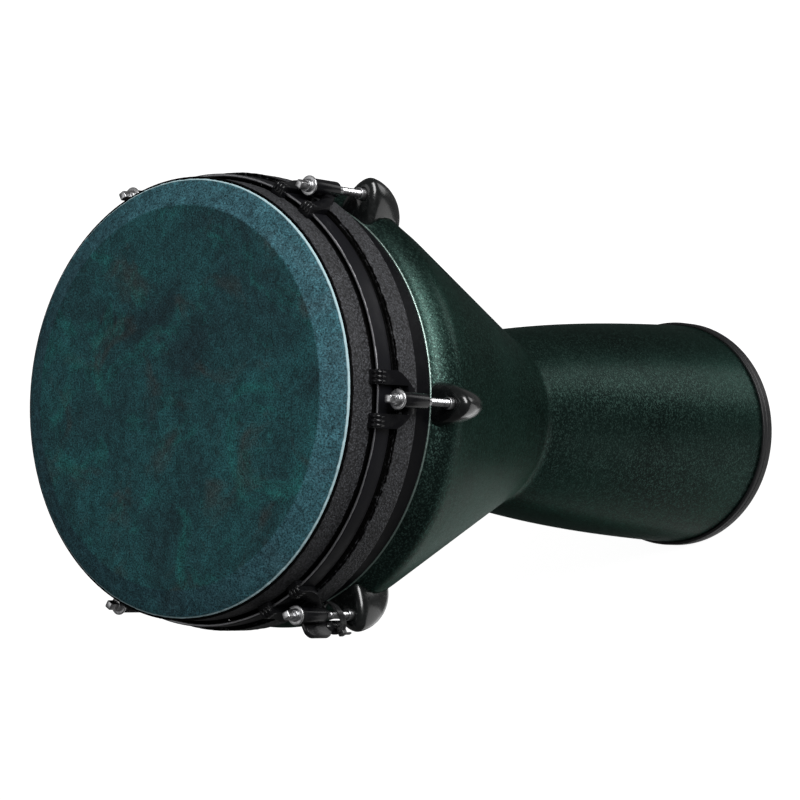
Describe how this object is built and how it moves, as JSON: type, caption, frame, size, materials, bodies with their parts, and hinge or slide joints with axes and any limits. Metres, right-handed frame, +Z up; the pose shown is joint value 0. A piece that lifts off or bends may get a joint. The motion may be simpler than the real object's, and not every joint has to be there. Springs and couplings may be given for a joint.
{
  "type": "djembe",
  "caption": "Key-tuned goblet hand drum: moulded shell, film head, steel counterhoop pulled down by claws and rods into teardrop lugs.",
  "frame": {"origin": "bottom centre of the foot ring, on the floor", "axes": "+Z up the drum's axis towards the head; -Y through the middle of the first claw, rod and lug"},
  "size_m": [0.3244, 0.362, 0.61],
  "materials": {
    "shell_green": "dark green metal-flake gel coat, semi-gloss",
    "rim_black": "smooth black moulding, satin",
    "head_film": "teal mottled skin-pattern film, satin",
    "collar_black": "pebbled black, matte",
    "hoop_black": "satin black powder coat",
    "claw_black": "satin black powder coat",
    "rod_steel": "bright plated",
    "lug_black": "gloss black coat",
    "nut_steel": "zinc plated",
    "foot_rubber": "moulded, matte",
    "key_black": "satin black",
    "tie_nylon": "moulded nylon"
  },
  "bodies": {
    "drum": {"shell": "shell_green", "bearing_ring": "rim_black", "head_film": "head_film", "head_collar": "collar_black", "foot_ring": "foot_rubber", "lug_casing_1": "lug_black", "lug_casing_2": "lug_black", "lug_casing_3": "lug_black", "lug_casing_4": "lug_black", "lug_casing_5": "lug_black", "lug_casing_6": "lug_black", "swivel_nut_1": "nut_steel", "swivel_nut_2": "nut_steel", "swivel_nut_3": "nut_steel", "swivel_nut_4": "nut_steel", "swivel_nut_5": "nut_steel", "swivel_nut_6": "nut_steel", "upper_screw_1": "nut_steel", "upper_screw_2": "nut_steel", "upper_screw_3": "nut_steel", "upper_screw_4": "nut_steel", "upper_screw_5": "nut_steel", "upper_screw_6": "nut_steel", "lower_screw_1": "nut_steel", "lower_screw_2": "nut_steel", "lower_screw_3": "nut_steel", "lower_screw_4": "nut_steel", "lower_screw_5": "nut_steel", "lower_screw_6": "nut_steel", "washer_plate_1": "nut_steel", "washer_plate_2": "nut_steel", "washer_plate_3": "nut_steel", "washer_plate_4": "nut_steel", "washer_plate_5": "nut_steel", "washer_plate_6": "nut_steel"},
    "hoop": {"counterhoop": "hoop_black", "flesh_hoop": "collar_black", "claw_1": "claw_black", "claw_2": "claw_black", "claw_3": "claw_black", "claw_4": "claw_black", "claw_5": "claw_black", "claw_6": "claw_black"},
    "rod_1": {"tension_rod_1": "rod_steel"},
    "rod_2": {"tension_rod_2": "rod_steel"},
    "rod_3": {"tension_rod_3": "rod_steel"},
    "rod_4": {"tension_rod_4": "rod_steel"},
    "rod_5": {"tension_rod_5": "rod_steel"},
    "rod_6": {"tension_rod_6": "rod_steel"},
    "key": {"tuning_key": "key_black", "cable_tie": "tie_nylon"}
  },
  "joints": [
    {"name": "hoop_slide", "type": "slide", "parent": "drum", "child": "hoop", "axis": [0, 0, -1], "range_m": [-0.006, 0.003]},
    {"name": "rod_spin_1", "type": "hinge", "parent": "hoop", "child": "rod_1", "pos_m": [0, -0.1682, 0.57], "axis": [0, 0, -1], "range_deg": [-2050, 1030]},
    {"name": "rod_spin_2", "type": "hinge", "parent": "hoop", "child": "rod_2", "pos_m": [0.14566, -0.0841, 0.57], "axis": [0, 0, -1], "range_deg": [-2050, 1030]},
    {"name": "rod_spin_3", "type": "hinge", "parent": "hoop", "child": "rod_3", "pos_m": [0.14566, 0.0841, 0.57], "axis": [0, 0, -1], "range_deg": [-2050, 1030]},
    {"name": "rod_spin_4", "type": "hinge", "parent": "hoop", "child": "rod_4", "pos_m": [0, 0.1682, 0.57], "axis": [0, 0, -1], "range_deg": [-2050, 1030]},
    {"name": "rod_spin_5", "type": "hinge", "parent": "hoop", "child": "rod_5", "pos_m": [-0.14566, 0.0841, 0.57], "axis": [0, 0, -1], "range_deg": [-2050, 1030]},
    {"name": "rod_spin_6", "type": "hinge", "parent": "hoop", "child": "rod_6", "pos_m": [-0.14566, -0.0841, 0.57], "axis": [0, 0, -1], "range_deg": [-2050, 1030]},
    {"name": "key_swing", "type": "hinge", "parent": "hoop", "child": "key", "pos_m": [-0.14566, -0.0841, 0.54], "axis": [0, 0, 1], "range_deg": [0, 100]}
  ],
  "couplings": [
    {"joint": "rod_spin_1", "follows": "hoop_slide", "rad_per_m": 5936.9},
    {"joint": "rod_spin_2", "follows": "hoop_slide", "rad_per_m": 5936.9},
    {"joint": "rod_spin_3", "follows": "hoop_slide", "rad_per_m": 5936.9},
    {"joint": "rod_spin_4", "follows": "hoop_slide", "rad_per_m": 5936.9},
    {"joint": "rod_spin_5", "follows": "hoop_slide", "rad_per_m": 5936.9},
    {"joint": "rod_spin_6", "follows": "hoop_slide", "rad_per_m": 5936.9}
  ]
}
